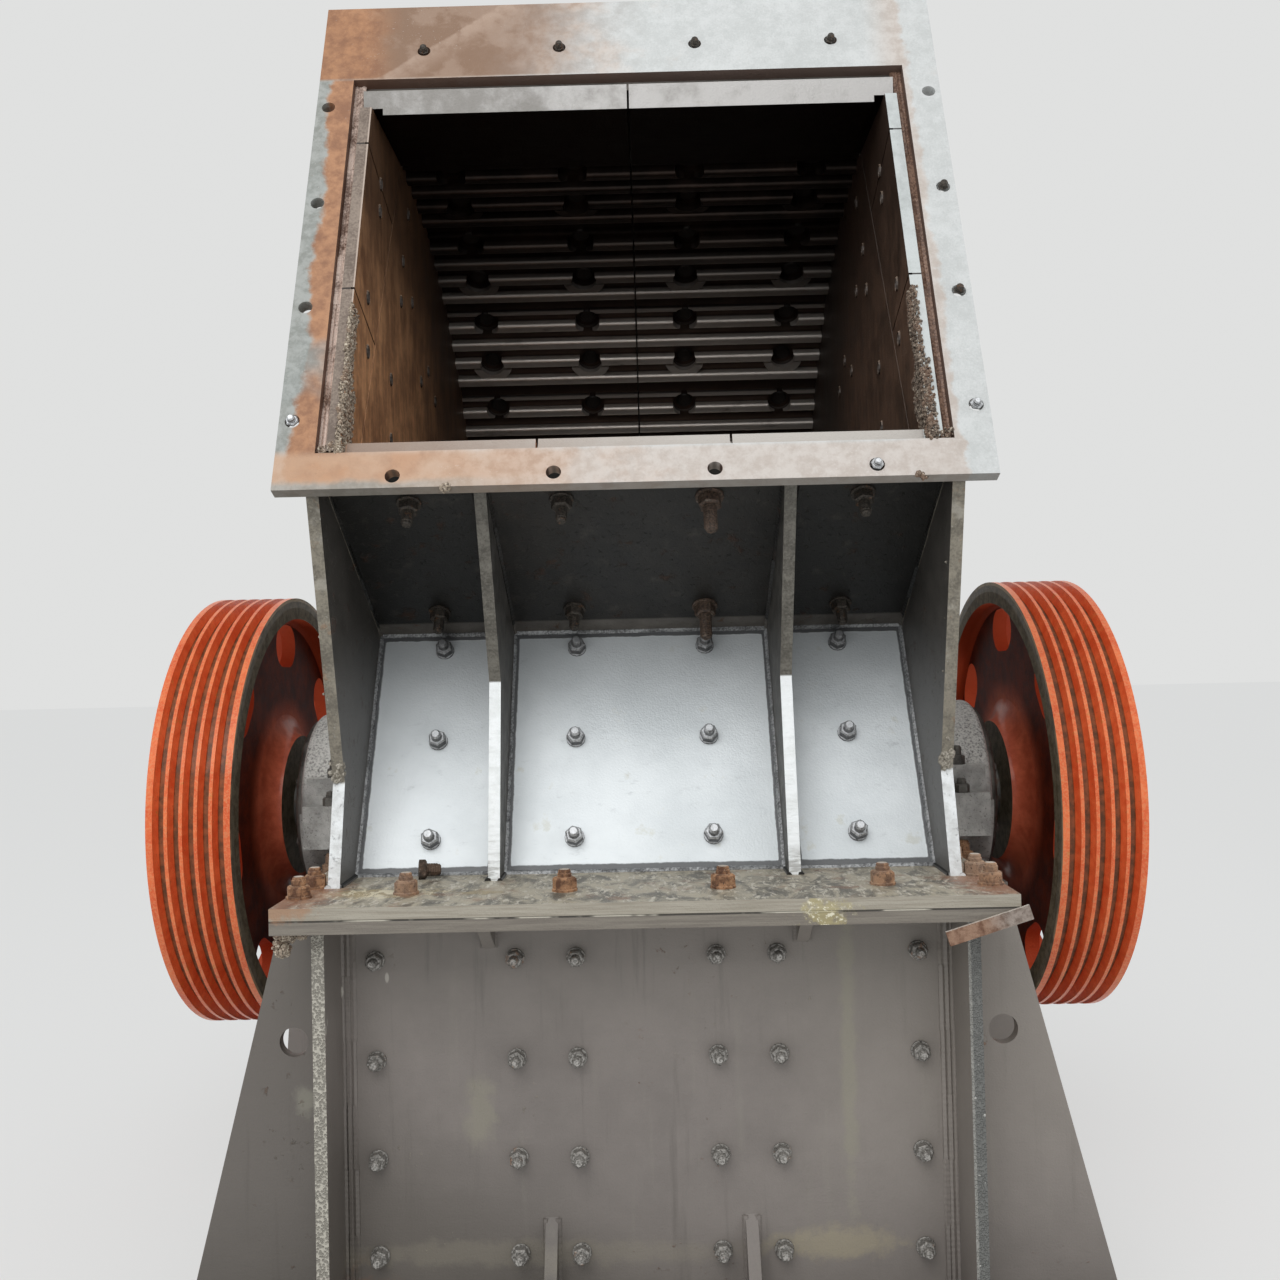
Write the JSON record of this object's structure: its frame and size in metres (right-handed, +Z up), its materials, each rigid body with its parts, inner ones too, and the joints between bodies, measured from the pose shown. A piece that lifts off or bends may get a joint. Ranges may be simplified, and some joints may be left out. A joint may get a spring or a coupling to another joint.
{
  "type": "hammer crusher",
  "caption": "Stationary hammer crusher: a welded casing with a slanted feed mouth, ribbed impact liners inside, and a rotor in split bearings with a grooved belt pulley at each end.",
  "frame": {"origin": "middle of the whole machine's box at the underside of the base frame, on the floor", "axes": "+X along the rotor towards the right-hand pulley, +Y away from the feed mouth, +Z up"},
  "size_m": [1.98, 1.946, 2.4183],
  "materials": {
    "lower_paint": "matte, dusty brown-grey",
    "shell_paint": "satin grey primer",
    "slant_paint": "bright blue-grey plate",
    "flange_steel": "bare plate with orange rust",
    "liner_steel": "rusted wear plate",
    "impact_steel": "dark cast steel",
    "bearing_grey": "grey casting",
    "bearing_steel": "machined",
    "pulley_red": "orange-red primer",
    "shaft_steel": "turned steel",
    "rotor_steel": "dark steel plate",
    "hammer_steel": "cast wear steel",
    "rusty_bar": "rust"
  },
  "bodies": {
    "housing": {"base_frame": "lower_paint", "lower_front_wall": "lower_paint", "lower_rear_wall": "lower_paint", "lower_left_side": "lower_paint", "lower_right_side": "lower_paint", "front_wings": "lower_paint", "rear_wings": "lower_paint", "front_gussets": "lower_paint", "rear_gussets": "lower_paint", "lower_flange": "flange_steel", "upper_flange": "flange_steel", "lower_liners": "liner_steel", "grate_bars": "liner_steel", "grate_sides": "liner_steel", "left_pedestal": "lower_paint", "right_pedestal": "lower_paint", "upper_left_side": "shell_paint", "upper_right_side": "shell_paint", "front_slant_plate": "slant_paint", "chute_floor": "liner_steel", "front_ribs": "shell_paint", "mouth_flange": "flange_steel", "roof_plate": "shell_paint", "rear_curved_plate": "shell_paint", "upper_rear_wall": "shell_paint", "rear_ribs": "shell_paint", "front_liners": "liner_steel", "roof_liners": "liner_steel", "impact_liners": "impact_steel", "left_side_liner": "liner_steel", "right_side_liner": "liner_steel", "left_bearing_base": "bearing_grey", "right_bearing_base": "bearing_grey", "left_bearing_cap": "bearing_grey", "right_bearing_cap": "bearing_grey", "left_bearing": "bearing_steel", "right_bearing": "bearing_steel", "loose_bar": "rusty_bar"},
    "rotor": {"shaft": "shaft_steel", "left_pulley": "pulley_red", "right_pulley": "pulley_red", "rotor_discs": "rotor_steel", "hammer_pins": "shaft_steel", "hammers": "hammer_steel"}
  },
  "joints": [
    {"name": "rotor_spin", "type": "hinge", "parent": "housing", "child": "rotor", "pos_m": [0, 0.003, 0.85], "axis": [1, 0, 0], "continuous": true}
  ]
}
